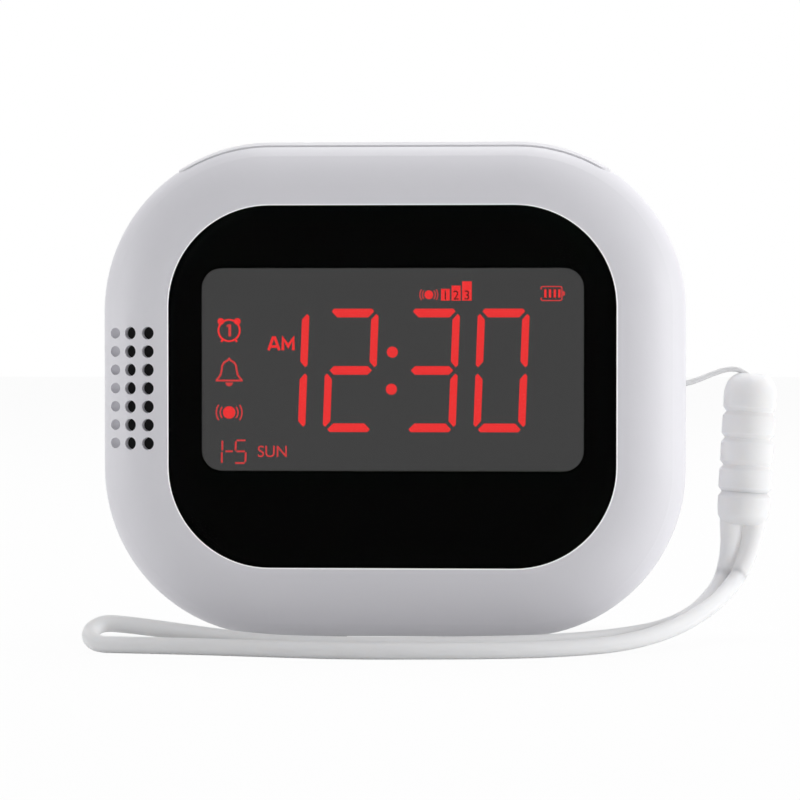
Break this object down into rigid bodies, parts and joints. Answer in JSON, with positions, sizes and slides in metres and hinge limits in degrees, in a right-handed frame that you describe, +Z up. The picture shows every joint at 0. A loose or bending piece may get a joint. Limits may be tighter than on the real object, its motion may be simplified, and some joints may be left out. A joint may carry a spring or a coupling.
{
  "type": "bed shaker alarm clock",
  "caption": "Rounded desk alarm clock with a window display, a vibration motor that shakes the bed, a long snooze button on top and a corded wrist strap.",
  "frame": {"origin": "on the ground under the middle of the clock, measured without the strap's cords", "axes": "X to the right as the display is read, Y away from the reader, Z up"},
  "size_m": [0.104, 0.0558, 0.0758],
  "materials": {
    "case_grey": "fine satin moulding",
    "case_grey_dark": "satin",
    "key_grey": "satin",
    "dark_rubber": "matte",
    "foam": "matte foam",
    "steel": "plain",
    "tinted_window": "clear polished",
    "black_film": "printed black",
    "display_glass": "polished",
    "white_plastic": "satin",
    "diffuser": "milky",
    "emissive_white": "resin",
    "board_green": "lacquered",
    "chip_black": "matte",
    "battery_foil": "wrapped foil",
    "black_plastic": "satin",
    "brass": "turned",
    "film": "film",
    "magnet": "plated",
    "lead_red": "matte",
    "lead_blue": "matte",
    "lead_grey": "matte",
    "ribbon_white": "film",
    "silicone": "soft satin",
    "cord_white": "woven"
  },
  "bodies": {
    "clock_case": {"front_housing": "case_grey", "rear_cover": "case_grey", "rubber_feet": "dark_rubber", "case_screws": "steel", "display_lens": "tinted_window", "lens_mask": "black_film", "lcd_glass": "display_glass", "lcd_frame": "white_plastic", "backlight_diffuser": "diffuser", "backlight_leds": "emissive_white", "main_board": "board_green", "board_chips": "chip_black", "chassis": "white_plastic", "chassis_screws": "steel", "battery_pack": "battery_foil", "motor_can": "steel", "motor_end_cap": "black_plastic", "motor_sleeve": "dark_rubber", "motor_clamp": "black_plastic", "clamp_screws": "steel", "speaker_gasket": "foam", "speaker_basket": "black_plastic", "speaker_surround": "dark_rubber", "speaker_yoke": "steel", "speaker_magnet": "magnet", "snooze_switch": "black_plastic", "key_board": "board_green", "key_board_screws": "steel", "key_switches": "black_plastic", "slide_switches": "steel", "charging_socket": "steel", "socket_tongue": "black_plastic", "battery_leads": "lead_red", "motor_leads": "lead_blue", "speaker_leads": "lead_grey", "board_ribbon": "ribbon_white", "ribbon_sockets": "white_plastic", "lanyard_pin": "steel", "strap_cap": "silicone", "lanyard_cord": "cord_white", "wrist_strap": "silicone"},
    "snooze_pad": {"snooze_button": "case_grey", "snooze_plunger": "case_grey_dark"},
    "set_button": {"set_key": "key_grey", "set_key_plunger": "case_grey_dark"},
    "mode_button": {"mode_key": "key_grey", "mode_key_plunger": "case_grey_dark"},
    "down_button": {"down_key": "key_grey", "down_key_plunger": "case_grey_dark"},
    "up_button": {"up_key": "key_grey", "up_key_plunger": "case_grey_dark"},
    "sound_slider": {"sound_slide_knob": "key_grey", "sound_slide_lever": "white_plastic"},
    "alarm_slider": {"alarm_slide_knob": "key_grey", "alarm_slide_lever": "white_plastic"},
    "rotor": {"motor_shaft": "steel", "left_weight": "brass", "right_weight": "brass"},
    "speaker_cone": {"speaker_dome": "film"}
  },
  "joints": [
    {"name": "snooze_press", "type": "slide", "parent": "clock_case", "child": "snooze_pad", "axis": [0, 0, -1], "range_m": [0, 0.0008], "stiffness_N_per_m": 900},
    {"name": "set_press", "type": "slide", "parent": "clock_case", "child": "set_button", "axis": [0, -1, 0], "range_m": [0, 0.0005], "stiffness_N_per_m": 900},
    {"name": "mode_press", "type": "slide", "parent": "clock_case", "child": "mode_button", "axis": [0, -1, 0], "range_m": [0, 0.0005], "stiffness_N_per_m": 900},
    {"name": "down_press", "type": "slide", "parent": "clock_case", "child": "down_button", "axis": [0, -1, 0], "range_m": [0, 0.0005], "stiffness_N_per_m": 900},
    {"name": "up_press", "type": "slide", "parent": "clock_case", "child": "up_button", "axis": [0, -1, 0], "range_m": [0, 0.0005], "stiffness_N_per_m": 900},
    {"name": "sound_slide", "type": "slide", "parent": "clock_case", "child": "sound_slider", "axis": [1, 0, 0], "range_m": [-0.002, 0.002]},
    {"name": "alarm_slide", "type": "slide", "parent": "clock_case", "child": "alarm_slider", "axis": [1, 0, 0], "range_m": [-0.002, 0.002]},
    {"name": "rotor_spin", "type": "hinge", "parent": "clock_case", "child": "rotor", "pos_m": [-0.002, 0.004, 0.0223], "axis": [1, 0, 0], "continuous": true},
    {"name": "cone_travel", "type": "slide", "parent": "clock_case", "child": "speaker_cone", "axis": [0, -1, 0], "range_m": [-0.0003, 0.0003], "stiffness_N_per_m": 300}
  ]
}
